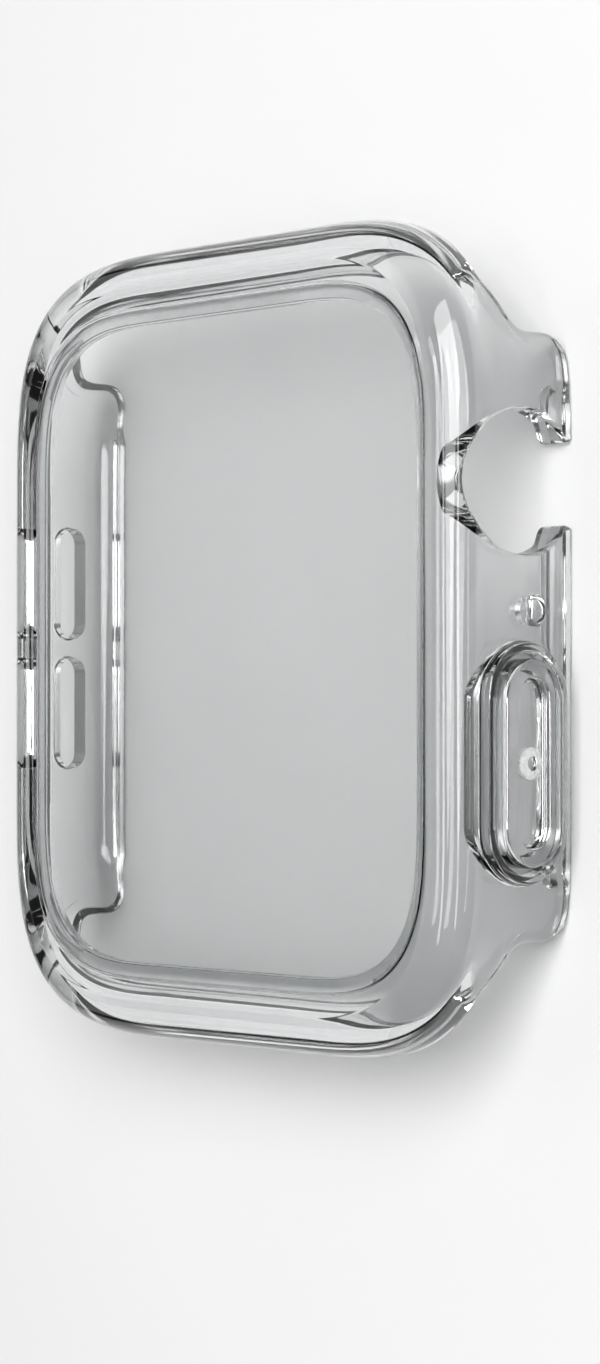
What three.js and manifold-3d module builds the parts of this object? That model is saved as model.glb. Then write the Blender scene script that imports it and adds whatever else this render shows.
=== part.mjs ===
// A clear clip-on case with a built-in screen cover, for a smartwatch with a rounded
// rectangular body. Lengths are millimetres. +Z points out of the screen, +Y to the strap at
// twelve o'clock and +X to the crown side. The origin lies under the middle of the case, in
// the plane that its rear edges rest on.

import * as THREE from "three";
import { mergeVertices } from "three/addons/utils/BufferGeometryUtils.js";
import Module from "manifold-3d";

const wasm = await Module();
wasm.setup();

// The watch body that the case is made for
const watch_width = 38;
const watch_length = 44;
const watch_clearance = 0.15;

// Frame: walls and overall depth
const side_wall = 1.25;
const end_wall = 1.65;
const case_depth = 9;
const rear_edge_round = 0.25;

// Frame: soft plan corners, given by how far a corner reaches along each side
const corner_reach = 14.4;
const corner_power = 3.25;

// Frame: the outer roll between the side wall and the crest of the rim
const roll_run = 2.3;
const roll_drop = 2.9;

// Frame: the rim between the crest and the window
const crest_land = 0.15;
const bevel_run_side = 0.65;
const bevel_run_end = 1.35;
const bevel_drop = 0.35;

// Frame: the ledge that carries the cover glass, and the roof over the watch
const ledge_width = 1;
const ledge_thickness = 0.45;
const roof_roll_run = 1.9;
const roof_roll_rise = 1.55;

// Cover glass and the bond under it
const glass_thickness = 0.4;
const glass_edge_run = 0.35;
const glass_edge_drop = 0.2;
const glass_clearance = 0.1;
const bond_thickness = 0.15;
const bond_inset = 0.1;

// Side guards and the arches that leave the strap free
const guard_half_length = 16.9;
const guard_corner_radius = 1.6;
const arch_knee_height = 2.7;
const arch_height = 5.6;
const arch_knee_run = 0.35;
const arch_knee_rise = 1.2;
const arch_run = 2.9;

// Snap lips along the rear edges of the guards
const lip_half_length = 14.2;
const lip_taper = 1.2;
const lip_reach = 0.6;
const lip_lead = 0.3;
const lip_height = 0.95;
const lip_slope_height = 0.95;
const lip_faded_share = 0.1;

// Crown opening, which breaks through the rear edge
const crown_y = 8.5;
const crown_z = 3.95;
const crown_radius = 4;
const crown_edge_chamfer = 0.25;
const crown_mouth_half_width = 2.4;
const crown_mouth_round = 0.5;
const crown_cut_depth = 2.4;

// Microphone port
const microphone_y = 1.4;
const microphone_z = 3.2;
const microphone_radius = 0.8;
const microphone_countersink = 0.3;

// Speaker slots in the wall away from the crown
const speaker_z = 4;
const speaker_slot_length = 7;
const speaker_slot_width = 2;
const speaker_rib = 1.2;

// Button: its place, the half length of the straight part that all its outlines share, and
// its travel, which takes the cap's top down level with the collar
const button_y = -7;
const button_z = 4.1;
const button_straight = 3.5;
const button_travel = 0.4;

// Raised collar round the button
const collar_proud = 0.6;
const collar_base_radius = 3.25;
const collar_top_radius = 2.95;
const collar_edge_round = 0.15;

// Button cap: a proud pill with a dished top, a dimpled boss in the dish and a stem behind
const cap_radius = 2.25;
const cap_clearance = 0.35;
const cap_edge_round = 0.35;
const dish_radius = 1.2;
const dish_depth = 0.5;
const dish_flare = 0.3;
const boss_radius = 0.9;
const boss_height = 0.35;
const dimple_radius = 0.4;
const dimple_depth = 0.25;
const stem_radius = 1.6;
const stem_reveal = 0.1;

// Soft web that carries the cap and pushes it back out
const web_thickness = 0.25;
const web_seat_width = 0.35;
const web_clearance = 0.05;

// One overrun serves every cut
const overrun = 1;

// Facet counts
const corner_steps = 14;
const roll_steps = 9;
const round_steps = 4;
const stadium_steps = 12;
const circle_steps = 56;
const small_circle_steps = 24;
const arch_steps = 8;

// Sizes and places that follow from the ones above
const cavity = {
  x: watch_width / 2 + watch_clearance,
  y: watch_length / 2 + watch_clearance,
  reach: corner_reach - (side_wall + end_wall) / 2,
};
const outer = {
  x: cavity.x + side_wall,
  y: cavity.y + end_wall,
  reach: corner_reach,
};
const crest = inset(outer, roll_run, roll_run);
const pocket = inset(crest, bevel_run_side, bevel_run_end);
const through = inset(pocket, ledge_width, ledge_width);
const pocket_top = case_depth - bevel_drop;
const glass_rear = pocket_top - glass_thickness;
const ledge_top = glass_rear - bond_thickness;
const roof_height = ledge_top - ledge_thickness;
const collar_top = outer.x + collar_proud;
const cap_top = collar_top + button_travel;
const collar_bore_radius = cap_radius + cap_clearance;
const web_seat_x = outer.x - cap_clearance;
const web_outer_radius = collar_bore_radius + web_seat_width;
const cap_rear = web_seat_x + web_clearance;

// Plan outlines

function inset(section, along_x, along_y) {
  return {
    x: section.x - along_x,
    y: section.y - along_y,
    reach: section.reach - (along_x + along_y) / 2,
  };
}

// A rounded rectangle with superellipse corners, level at height z
function plan_ring(section, z) {
  const points = [];
  for (let quarter = 0; quarter < 4; quarter++) {
    for (let step = 0; step <= corner_steps; step++) {
      const angle = ((quarter + step / corner_steps) * Math.PI) / 2;
      const across = Math.cos(angle);
      const along = Math.sin(angle);
      const power = corner_power;
      const sum = Math.abs(across) ** power + Math.abs(along) ** power;
      const radius = section.reach / sum ** (1 / power);
      const side_x = quarter === 0 || quarter === 3 ? 1 : -1;
      const side_y = quarter < 2 ? 1 : -1;
      points.push(
        new THREE.Vector3(
          side_x * (section.x - section.reach) + radius * across,
          side_y * (section.y - section.reach) + radius * along,
          z,
        ),
      );
    }
  }
  return points;
}

// A stadium round the button's middle, in the plane at x
function stadium_ring(radius, x, y = button_y, z = button_z, straight = button_straight) {
  const points = [];
  for (const end of [1, -1]) {
    for (let step = 0; step <= stadium_steps; step++) {
      const angle = (step / stadium_steps) * Math.PI;
      points.push(
        new THREE.Vector3(
          x,
          y + end * (straight + radius * Math.sin(angle)),
          z - end * radius * Math.cos(angle),
        ),
      );
    }
  }
  return points;
}

// A circle in the plane at x
function circle_ring(radius, x, y, z, steps) {
  const points = [];
  for (let step = 0; step < steps; step++) {
    const angle = (step / steps) * 2 * Math.PI;
    points.push(
      new THREE.Vector3(x, y + radius * Math.cos(angle), z + radius * Math.sin(angle)),
    );
  }
  return points;
}

// Geometry and solids

// A closed skin through rings of equal point count, with a fan at each end. Each ring runs
// anticlockwise as seen from the far end.
function loft(rings) {
  const count = rings[0].length;
  const positions = rings.flat().flatMap((point) => point.toArray());
  const index = [];
  for (let level = 0; level + 1 < rings.length; level++) {
    for (let j = 0; j < count; j++) {
      const next = (j + 1) % count;
      const low = level * count;
      const high = low + count;
      index.push(low + j, low + next, high + next);
      index.push(low + j, high + next, high + j);
    }
  }
  const ends = [rings[0], rings[rings.length - 1]];
  ends.forEach((ring, end) => {
    const middle = ring.reduce((sum, point) => sum.add(point), new THREE.Vector3());
    middle.divideScalar(count);
    const centre = positions.length / 3;
    positions.push(...middle.toArray());
    const base = end === 0 ? 0 : (rings.length - 1) * count;
    for (let j = 0; j < count; j++) {
      const next = (j + 1) % count;
      if (end === 0) index.push(centre, base + next, base + j);
      else index.push(centre, base + j, base + next);
    }
  });
  const geometry = new THREE.BufferGeometry();
  geometry.setAttribute("position", new THREE.Float32BufferAttribute(positions, 3));
  geometry.setIndex(index);
  return geometry;
}

function solid(geometry) {
  const bare = geometry.clone();
  bare.deleteAttribute("normal");
  bare.deleteAttribute("uv");
  const merged = mergeVertices(bare);
  return new wasm.Manifold(
    new wasm.Mesh({
      numProp: 3,
      vertProperties: new Float32Array(merged.attributes.position.array),
      triVerts: new Uint32Array(merged.index.array),
    }),
  );
}

function geometry_of(body) {
  const mesh = body.getMesh();
  const geometry = new THREE.BufferGeometry();
  geometry.setAttribute("position", new THREE.BufferAttribute(mesh.vertProperties, 3));
  geometry.setIndex(new THREE.BufferAttribute(mesh.triVerts, 1));
  geometry.computeVertexNormals();
  return geometry;
}

// A plan outline cut or filled straight through from one height to another
function plan_prism(section, low, high) {
  return solid(loft([plan_ring(section, low), plan_ring(section, high)]));
}

// Frame

// The outer body: a rounded rear edge, straight walls, and the roll up to the crest
function frame_body() {
  const rings = [];
  for (let step = 0; step <= round_steps; step++) {
    const angle = (step / round_steps) * (Math.PI / 2);
    const in_by = rear_edge_round * (1 - Math.sin(angle));
    const z = rear_edge_round * (1 - Math.cos(angle));
    rings.push(plan_ring(inset(outer, in_by, in_by), z));
  }
  for (let step = 0; step <= roll_steps; step++) {
    const angle = (step / roll_steps) * (Math.PI / 2);
    const in_by = roll_run * (1 - Math.cos(angle));
    const z = case_depth - roll_drop * (1 - Math.sin(angle));
    rings.push(plan_ring(inset(outer, in_by, in_by), z));
  }
  return solid(loft(rings));
}

// The space that the watch fills, with a rolled roof edge like the watch's own
function watch_space() {
  const rings = [plan_ring(cavity, -overrun)];
  for (let step = 0; step <= roll_steps; step++) {
    const angle = (step / roll_steps) * (Math.PI / 2);
    const in_by = roof_roll_run * (1 - Math.cos(angle));
    const z = roof_height - roof_roll_rise * (1 - Math.sin(angle));
    rings.push(plan_ring(inset(cavity, in_by, in_by), z));
  }
  return solid(loft(rings));
}

// The window: straight through the ledge, wider in the glass pocket, then flared to the crest
function window_cut() {
  const mouth = inset(crest, crest_land, crest_land);
  const flare_x = (mouth.x - pocket.x) / bevel_drop;
  const flare_y = (mouth.y - pocket.y) / bevel_drop;
  const above = inset(mouth, -flare_x * overrun, -flare_y * overrun);
  return solid(
    loft([
      plan_ring(through, roof_height - overrun),
      plan_ring(through, ledge_top),
      plan_ring(pocket, ledge_top),
      plan_ring(pocket, pocket_top),
      plan_ring(mouth, case_depth),
      plan_ring(above, case_depth + overrun),
    ]),
  );
}

// A straight cut along X. Its outline is drawn in Y and Z, and it runs from x by depth
function side_cut(outline, x, depth) {
  const geometry = new THREE.ExtrudeGeometry(outline, {
    depth: depth,
    bevelEnabled: false,
    curveSegments: arch_steps,
  });
  // The outline's first axis becomes +Y and its second +Z, so the depth runs along +X
  const turned = new THREE.Matrix4().makeBasis(
    new THREE.Vector3(0, 1, 0),
    new THREE.Vector3(0, 0, 1),
    new THREE.Vector3(1, 0, 0),
  );
  geometry.applyMatrix4(turned);
  geometry.translate(x, 0, 0);
  return geometry;
}

// What is cut from one end so that the strap passes: below a line that follows the guard's
// rounded rear corner, climbs its end, bends over a knee and runs level under the end wall
function arch_cut(end) {
  const corner = guard_half_length - guard_corner_radius;
  const knee_end = guard_half_length + arch_knee_run;
  const far = outer.y + overrun;
  const outline = new THREE.Shape();
  outline.moveTo(corner, -overrun);
  outline.lineTo(far, -overrun);
  outline.lineTo(far, arch_height);
  outline.lineTo(guard_half_length + arch_run + arch_knee_rise, arch_height);
  outline.quadraticCurveTo(
    guard_half_length + arch_run,
    arch_height,
    guard_half_length + arch_run - arch_knee_rise / 2,
    arch_height - arch_knee_rise / 2,
  );
  outline.lineTo(knee_end, arch_knee_height + arch_knee_rise);
  outline.quadraticCurveTo(
    guard_half_length,
    arch_knee_height + arch_knee_rise - arch_knee_run,
    guard_half_length,
    arch_knee_height,
  );
  outline.lineTo(guard_half_length, guard_corner_radius);
  outline.absarc(corner, guard_corner_radius, guard_corner_radius, 0, -Math.PI / 2, true);
  outline.closePath();
  const reach = outer.x + overrun;
  const geometry = side_cut(outline, -reach, 2 * reach);
  if (end < 0) geometry.rotateZ(Math.PI);
  return solid(geometry);
}

// A snap lip on one guard: a hook with a lead-in below and a sloped face above, fading out
// at both ends
function snap_lip(side) {
  const root = side_wall / 2;
  const section = (y, share) => {
    const tip = cavity.x - lip_reach * share;
    const lead = cavity.x - Math.max(lip_reach * share - lip_lead, 0);
    const profile = [
      [lead, 0],
      [tip, lip_lead],
      [tip, lip_height],
      [cavity.x, lip_height + lip_slope_height],
      [cavity.x + root, lip_height + lip_slope_height],
      [cavity.x + root, 0],
    ];
    return profile.map(([x, z]) => new THREE.Vector3(x, y, z));
  };
  const geometry = loft([
    section(-lip_half_length, lip_faded_share),
    section(lip_taper - lip_half_length, 1),
    section(lip_half_length - lip_taper, 1),
    section(lip_half_length, lip_faded_share),
  ]);
  if (side < 0) geometry.rotateZ(Math.PI);
  return solid(geometry);
}

// The crown opening: a round hole with a chamfered outer edge, and its mouth at the rear,
// whose two horns have rounded tips
function crown_cut() {
  const wide = crown_radius + crown_edge_chamfer + overrun;
  const ring = (radius, x) => circle_ring(radius, x, crown_y, crown_z, circle_steps);
  const hole = loft([
    ring(crown_radius, outer.x - crown_cut_depth),
    ring(crown_radius, outer.x - crown_edge_chamfer),
    ring(wide, outer.x + overrun),
  ]);
  const half = crown_mouth_half_width;
  const round = crown_mouth_round;
  const mouth = new THREE.Shape();
  mouth.moveTo(crown_y - half, crown_z);
  mouth.lineTo(crown_y - half, round);
  mouth.absarc(crown_y - half - round, round, round, 0, -Math.PI / 2, true);
  mouth.lineTo(crown_y - half - round, -overrun);
  mouth.lineTo(crown_y + half + round, -overrun);
  mouth.lineTo(crown_y + half + round, 0);
  mouth.absarc(crown_y + half + round, round, round, -Math.PI / 2, -Math.PI, true);
  mouth.lineTo(crown_y + half, crown_z);
  mouth.closePath();
  const depth = crown_cut_depth + overrun;
  return solid(hole).add(solid(side_cut(mouth, outer.x - crown_cut_depth, depth)));
}

function microphone_cut() {
  const wide = microphone_radius + microphone_countersink + overrun;
  const ring = (radius, x) =>
    circle_ring(radius, x, microphone_y, microphone_z, small_circle_steps);
  return solid(
    loft([
      ring(microphone_radius, cavity.x - overrun),
      ring(microphone_radius, outer.x - microphone_countersink),
      ring(wide, outer.x + overrun),
    ]),
  );
}

function speaker_cut(end) {
  const radius = speaker_slot_width / 2;
  const straight = speaker_slot_length / 2 - radius;
  const y = (end * (speaker_slot_length + speaker_rib)) / 2;
  return solid(
    loft([
      stadium_ring(radius, -outer.x - overrun, y, speaker_z, straight),
      stadium_ring(radius, overrun - cavity.x, y, speaker_z, straight),
    ]),
  );
}

// The raised collar, before its bore: its sloped flank starts inside the wall and ends at a
// softened top edge
function collar_body() {
  const shoulder = collar_top_radius + collar_edge_round;
  const slope = (collar_base_radius - shoulder) / (collar_proud - collar_edge_round);
  const root_depth = side_wall / 2;
  return solid(
    loft([
      stadium_ring(collar_base_radius + slope * root_depth, outer.x - root_depth),
      stadium_ring(shoulder, collar_top - collar_edge_round),
      stadium_ring(collar_top_radius, collar_top),
    ]),
  );
}

// The collar's bore, and the wider seat for the web behind it
function collar_bore() {
  const bore = loft([
    stadium_ring(collar_bore_radius, cavity.x - overrun),
    stadium_ring(collar_bore_radius, collar_top - collar_edge_round),
    stadium_ring(collar_bore_radius + collar_edge_round, collar_top),
    stadium_ring(collar_bore_radius + collar_edge_round, collar_top + overrun),
  ]);
  const seat = loft([
    stadium_ring(web_outer_radius, cavity.x - overrun),
    stadium_ring(web_outer_radius, web_seat_x),
  ]);
  return solid(bore).add(solid(seat));
}

function frame() {
  let body = frame_body().subtract(watch_space()).subtract(window_cut());
  for (const side of [1, -1]) body = body.add(snap_lip(side));
  for (const end of [1, -1]) {
    body = body.subtract(arch_cut(end)).subtract(speaker_cut(end));
  }
  return body
    .add(collar_body())
    .subtract(collar_bore())
    .subtract(crown_cut())
    .subtract(microphone_cut());
}

// Screen cover

// The glass plate, with a softened front edge, standing clear of its pocket's wall
function screen_glass() {
  const plate = inset(pocket, glass_clearance, glass_clearance);
  const rings = [plan_ring(plate, glass_rear)];
  for (let step = 0; step <= round_steps; step++) {
    const angle = (step / round_steps) * (Math.PI / 2);
    const in_by = glass_edge_run * (1 - Math.cos(angle));
    const z = pocket_top - glass_edge_drop * (1 - Math.sin(angle));
    rings.push(plan_ring(inset(plate, in_by, in_by), z));
  }
  return solid(loft(rings));
}

// The bond between the ledge and the glass
function glass_bond() {
  const out_by = glass_clearance + bond_inset;
  const whole = plan_prism(inset(pocket, out_by, out_by), ledge_top, glass_rear);
  const hole = inset(through, -bond_inset, -bond_inset);
  return whole.subtract(plan_prism(hole, ledge_top - overrun, glass_rear + overrun));
}

// Button

// The cap: stem, pill with a rounded top edge, dished top, and the boss in the dish
function button_cap() {
  const top = cap_top;
  const pill = [stadium_ring(cap_radius, cap_rear)];
  for (let step = 0; step <= round_steps; step++) {
    const angle = (step / round_steps) * (Math.PI / 2);
    const in_by = cap_edge_round * (1 - Math.cos(angle));
    const x = top - cap_edge_round * (1 - Math.sin(angle));
    pill.push(stadium_ring(cap_radius - in_by, x));
  }
  const dish = loft([
    stadium_ring(dish_radius - dish_flare, top - dish_depth),
    stadium_ring(dish_radius, top),
    stadium_ring(dish_radius, top + overrun),
  ]);
  const boss_ring = (radius, x) =>
    circle_ring(radius, x, button_y, button_z, small_circle_steps);
  const boss = loft([
    boss_ring(boss_radius, top - dish_depth - boss_height),
    boss_ring(boss_radius, top - dish_depth + boss_height - cap_edge_round / 2),
    boss_ring(boss_radius - cap_edge_round / 2, top - dish_depth + boss_height),
  ]);
  const dimple = loft([
    boss_ring(dimple_radius / 2, top - dish_depth + boss_height - dimple_depth),
    boss_ring(dimple_radius, top - dish_depth + boss_height),
    boss_ring(dimple_radius, top + overrun),
  ]);
  const stem = loft([
    stadium_ring(stem_radius, cavity.x + stem_reveal),
    stadium_ring(stem_radius, cap_rear + cap_edge_round),
  ]);
  return solid(loft(pill))
    .subtract(solid(dish))
    .add(solid(boss))
    .add(solid(stem))
    .subtract(solid(dimple));
}

// The web: a thin flat ring between the stem and the seat behind the collar
function button_web() {
  const front = web_seat_x;
  const rear = front - web_thickness;
  const whole = loft([
    stadium_ring(web_outer_radius - web_clearance, rear),
    stadium_ring(web_outer_radius - web_clearance, front),
  ]);
  const hole = loft([
    stadium_ring(stem_radius + web_clearance, rear - overrun),
    stadium_ring(stem_radius + web_clearance, front + overrun),
  ]);
  return solid(whole).subtract(solid(hole));
}

// Materials

function clear_plastic() {
  return new THREE.MeshStandardMaterial({
    color: 0xeef1f3,
    roughness: 0.08,
    metalness: 0,
    transparent: true,
    opacity: 0.35,
  });
}

function cover_glass() {
  return new THREE.MeshStandardMaterial({
    color: 0xe6eeee,
    roughness: 0.02,
    metalness: 0,
    transparent: true,
    opacity: 0.25,
  });
}

function bond_film() {
  return new THREE.MeshStandardMaterial({
    color: 0xf4f4f2,
    roughness: 0.4,
    metalness: 0,
    transparent: true,
    opacity: 0.4,
  });
}

function soft_web() {
  return new THREE.MeshStandardMaterial({
    color: 0xe9eaea,
    roughness: 0.45,
    metalness: 0,
    transparent: true,
    opacity: 0.6,
  });
}

// Assembly

function piece(name, body, material) {
  const mesh = new THREE.Mesh(geometry_of(body), material);
  mesh.name = name;
  return mesh;
}

const button = new THREE.Group();
button.add(piece("button_cap", button_cap(), clear_plastic()));
button.add(piece("button_web", button_web(), soft_web()));

const screen_cover = new THREE.Group();
screen_cover.add(piece("screen_glass", screen_glass(), cover_glass()));
screen_cover.add(piece("glass_bond", glass_bond(), bond_film()));

const protector = new THREE.Group();
protector.add(piece("frame", frame(), clear_plastic()));
protector.add(screen_cover);
protector.add(button);
// The cap stands proud on one side only, so the middle of the whole lies off the frame's own
protector.position.x = (outer.x - cap_top) / 2;

export default protector;
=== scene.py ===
"""A clear clip-on watch case with a built-in screen cover, dressed for the photograph's view.

Sizes are in millimetres until a mesh is made, in the case's own frame: X and Y start at the
middle of the case's walls and Z at the rear edge. to_model() takes points to the origin and
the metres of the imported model.
"""

import math

import bpy
import numpy as np
from mathutils import Matrix, Vector

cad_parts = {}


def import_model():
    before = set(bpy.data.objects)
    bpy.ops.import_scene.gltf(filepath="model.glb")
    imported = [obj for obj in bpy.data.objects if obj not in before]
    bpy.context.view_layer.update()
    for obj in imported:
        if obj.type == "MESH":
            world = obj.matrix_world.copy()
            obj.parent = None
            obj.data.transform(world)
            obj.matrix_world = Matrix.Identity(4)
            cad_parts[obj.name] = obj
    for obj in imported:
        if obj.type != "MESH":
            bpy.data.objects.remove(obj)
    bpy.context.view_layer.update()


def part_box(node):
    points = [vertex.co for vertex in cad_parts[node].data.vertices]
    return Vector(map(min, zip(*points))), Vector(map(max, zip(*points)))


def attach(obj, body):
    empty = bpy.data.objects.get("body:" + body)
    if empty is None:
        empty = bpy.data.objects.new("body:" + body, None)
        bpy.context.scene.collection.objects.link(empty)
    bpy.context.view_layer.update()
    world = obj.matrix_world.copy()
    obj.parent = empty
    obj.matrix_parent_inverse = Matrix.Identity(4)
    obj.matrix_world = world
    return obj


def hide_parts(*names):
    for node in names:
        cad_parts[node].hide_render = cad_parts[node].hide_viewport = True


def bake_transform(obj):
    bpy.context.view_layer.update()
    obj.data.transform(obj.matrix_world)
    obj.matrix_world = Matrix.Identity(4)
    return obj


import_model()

MM = 0.001


def box_mm(node):
    """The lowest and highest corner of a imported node, in millimetres."""
    low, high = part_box(node)
    return low / MM, high / MM


frame_low, frame_high = box_mm("frame")
glass_low, glass_high = box_mm("screen_glass")
bond_low, bond_high = box_mm("glass_bond")
cap_low, cap_high = box_mm("button_cap")
web_low, web_high = box_mm("button_web")

# Walls and the outer form
COLLAR_PROUD = 0.6
SIDE_WALL = 1.25
END_WALL = 1.65
CORNER_REACH = 14.4
CORNER_POWER = 3.25
ROLL_RUN = 2.3
ROLL_DROP = 2.9
OUTER_X = (frame_high.x - frame_low.x - COLLAR_PROUD) / 2
OUTER_Y = frame_high.y
CASE_DEPTH = frame_high.z
CASE_X = frame_low.x + OUTER_X
OUTER_WALL_TOP = CASE_DEPTH - ROLL_DROP

# Rim, window and ledge
CREST_LAND = 0.15
BEVEL_RUN_SIDE = 0.65
BEVEL_RUN_END = 1.35
LEDGE_WIDTH = 1.0
LEDGE_THICKNESS = 0.45
ROOF_ROLL_RUN = 1.9
ROOF_ROLL_RISE = 1.55
GLASS_CLEARANCE = 0.1
BOND_INSET = 0.1
BOND_SEAT_GAP = 0.012
POCKET_TOP = glass_high.z
LEDGE_TOP = bond_low.z
ROOF = LEDGE_TOP - LEDGE_THICKNESS
INNER_WALL_TOP = ROOF - ROOF_ROLL_RISE

# Guards and arches
GUARD_HALF_LENGTH = 16.9
GUARD_CORNER_RADIUS = 1.6
ARCH_KNEE_HEIGHT = 2.7
ARCH_HEIGHT = 5.6
ARCH_KNEE_RUN = 0.35
ARCH_KNEE_RISE = 1.2
ARCH_RUN = 2.9

# Snap lips
LIP_REACH = 0.6
LIP_LEAD = 0.3
LIP_HEIGHT = 0.95
LIP_SLOPE_HEIGHT = 0.95
LIP_SOFTENING = 0.08
LIP_FULL_TO = 13.0
LIP_FADED_AT = 14.3

# The heights at which a snap lip turns, each with the reach of its softening
LIP_TURNS = (
    (LIP_LEAD, LIP_SOFTENING),
    (LIP_HEIGHT, LIP_SOFTENING),
    (LIP_HEIGHT + LIP_SLOPE_HEIGHT, 2 * LIP_SOFTENING),
)

# A snap lip's reach at the rear edge, and then before, at and past each of its turns
LIP_REACH_SHARES = (0.5, 0.87, 0.965, 1, 1, 0.98, 0.92, 0.17, 0.045, 0)

# Openings
CROWN_Y = 8.5
CROWN_Z = 3.95
CROWN_RADIUS = 4.0
CROWN_EDGE_ROUND = 0.3
CROWN_HORN_ROUND = 0.5
CROWN_HORN_RISE_SHARE = 0.85
CROWN_CUT_DEPTH = 2.4
MICROPHONE_Y = 1.4
MICROPHONE_Z = 3.2
MICROPHONE_RADIUS = 0.8
MICROPHONE_EDGE_ROUND = 0.28
SPEAKER_Z = 4.0
SPEAKER_SLOT_LENGTH = 7.0
SPEAKER_SLOT_WIDTH = 2.0
SPEAKER_RIB = 1.2
SPEAKER_EDGE_ROUND = 0.2

# Button
BUTTON_HALF_STRAIGHT = 3.5
BUTTON_Y = (cap_low.y + cap_high.y) / 2
BUTTON_Z = (cap_low.z + cap_high.z) / 2
CAP_RADIUS = (cap_high.z - cap_low.z) / 2
CAP_TOP = cap_high.x - CASE_X
CAP_CLEARANCE = 0.35
CAP_EDGE_ROUND = 0.35
COLLAR_BASE_RADIUS = 3.25
COLLAR_TOP_RADIUS = 2.95
COLLAR_EDGE_ROUND = 0.15
COLLAR_FOOT_ROUND = 0.3
BORE_MOUTH_TURN = math.radians(76)
DISH_RADIUS = 1.2
DISH_DEPTH = 0.5
DISH_FLOOR = CAP_TOP - DISH_DEPTH
DISH_FLARE = 0.3
DISH_LIP_ROUND = 0.16
DISH_LIP_TURN = math.radians(62)
BOSS_RADIUS = 0.9
BOSS_HEIGHT = 0.35
BOSS_DOME_SHARE = 0.5
DIMPLE_RADIUS = 0.4
DIMPLE_DEPTH = 0.25
DIMPLE_LIP = 0.06
STEM_RADIUS = 1.6
STEM_END = cap_low.x - CASE_X
WEB_FRONT = web_high.x - CASE_X
WEB_REAR = web_low.x - CASE_X
WEB_OUTER_RADIUS = (web_high.z - web_low.z) / 2
WEB_CLEARANCE = 0.05
WEB_SKIN = 0.1
WEB_HINGE_OUTER = 2.62
WEB_HINGE_INNER = 2.32

# Softened edges that the solids leave out
REAR_EDGE_ROUND = 0.25
ARCH_EDGE_ROUND = 0.45
INNER_EDGE_ROUND = 0.15
RIM_EDGE_ROUND = 0.09
GLASS_EDGE_RUN = 0.35
GLASS_EDGE_DROP = 0.2

# A rounding takes at most this share of what lies between two corners of a profile
ROUNDED_SPAN_SHARE = 0.45

# A rounding that runs out on a face stops where it stands at this angle to the face
SKIM_ANGLE = math.radians(14)

# Edges that turn by more than this stay sharp
CREASE_ANGLE = math.radians(38)

# One overrun serves every cut
OVERRUN = 1.0

# Counts of steps and points
ROLL_STEPS = 18
ROUND_STEPS = 5
FINE_ROUND_STEPS = 2 * ROUND_STEPS
STADIUM_STEPS = 40
STRAIGHT_STEPS = 8
CIRCLE_STEPS = 64
CROWN_STEPS = 120
HORN_STEPS = 15
GUARD_STEPS = 24
BOUND_STEPS = 52
CORNER_STEPS = 30
END_STEPS = 10
OUTER_WALL_STEPS = 14
COVER_POINTS = 90
CURVE_POINTS = 24

# Heights of the inner wall's rings, apart from those at the turns of the snap lip
PLAIN_HEIGHTS = (5.5, 4.9, 4.3, 3.7, 3.2, 2.8, 2.45, 2.2, 1.5, 1.25, 1.1, 0.7, 0.5, 0.42)

# How finely curves are sampled before their points are spaced out
PLAN_SAMPLES = 600
PLAN_CORNER_SAMPLES = 4 * PLAN_SAMPLES
BOUND_SAMPLES = 4000
BOUND_SAMPLE_STEP = 0.02

# The line that bounds a wall at the rear runs on past both ends while it is softened by a
# Gaussian of this width, which is cut off at so many widths
BOUND_LEAD = 2.0
BOUND_SOFTENING = 0.28
BOUND_SOFTENING_WIDTHS = 3

# What is this close to the end wall's face, or to the dish's floor, counts as on it
END_TOLERANCE = 0.000001
FLOOR_TOLERANCE = 0.0001


# Points along lines


def lengths_along(points):
    """The length along a polyline at each of its points."""
    steps = np.linalg.norm(np.diff(points, axis=0), axis=1)
    return np.concatenate([[0], np.cumsum(steps)])


def rows_at(wanted, lengths, rows):
    """Rows of numbers that belong to lengths, interpolated at the wanted lengths."""
    return np.stack([np.interp(wanted, lengths, column) for column in rows.T], axis=1)


def normals_of(points):
    """Unit normals to the left of an open polyline."""
    tangent = np.gradient(points, axis=0)
    tangent /= np.linalg.norm(tangent, axis=1)[:, None]
    return np.stack([-tangent[:, 1], tangent[:, 0]], axis=1)


def quadratic(start, control, end, count):
    """Points of a quadratic curve."""
    t = np.linspace(0, 1, count)[:, None]
    a, b, c = (np.array(p, float) for p in (start, control, end))
    return (1 - t) ** 2 * a + 2 * t * (1 - t) * b + t**2 * c


def quarter_round(run, drop, steps, start=0.0, stop=math.pi / 2):
    """(in, down) pairs along a rounding that leads from a wall to the face on top of it: how
    far each point lies inside the wall and under the face."""
    angles = np.linspace(start, stop, steps + 1)
    return [(run * (1 - math.cos(a)), drop * (1 - math.sin(a))) for a in angles]


def smoothstep(t):
    """Eases from 0 to 1, and stays there on both sides."""
    t = np.clip(t, 0, 1)
    return t * t * (3 - 2 * t)


# Plan outlines. A section is (half width, half length, corner reach). A station is
# (along x, along y, corner x, corner y): shares of the straight parts and of the corner.


def inset(section, along_x, along_y):
    """A section drawn in, with its corners."""
    return (
        section[0] - along_x,
        section[1] - along_y,
        section[2] - (along_x + along_y) / 2,
    )


outer = (OUTER_X, OUTER_Y, CORNER_REACH)
cavity = inset(outer, SIDE_WALL, END_WALL)
crest = inset(outer, ROLL_RUN, ROLL_RUN)
mouth = inset(crest, CREST_LAND, CREST_LAND)
pocket = inset(crest, BEVEL_RUN_SIDE, BEVEL_RUN_END)
through = inset(pocket, LEDGE_WIDTH, LEDGE_WIDTH)


def corner_share(share):
    """The other coordinate of a unit superellipse."""
    return (1 - np.clip(share, 0, 1) ** CORNER_POWER) ** (1 / CORNER_POWER)


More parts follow.
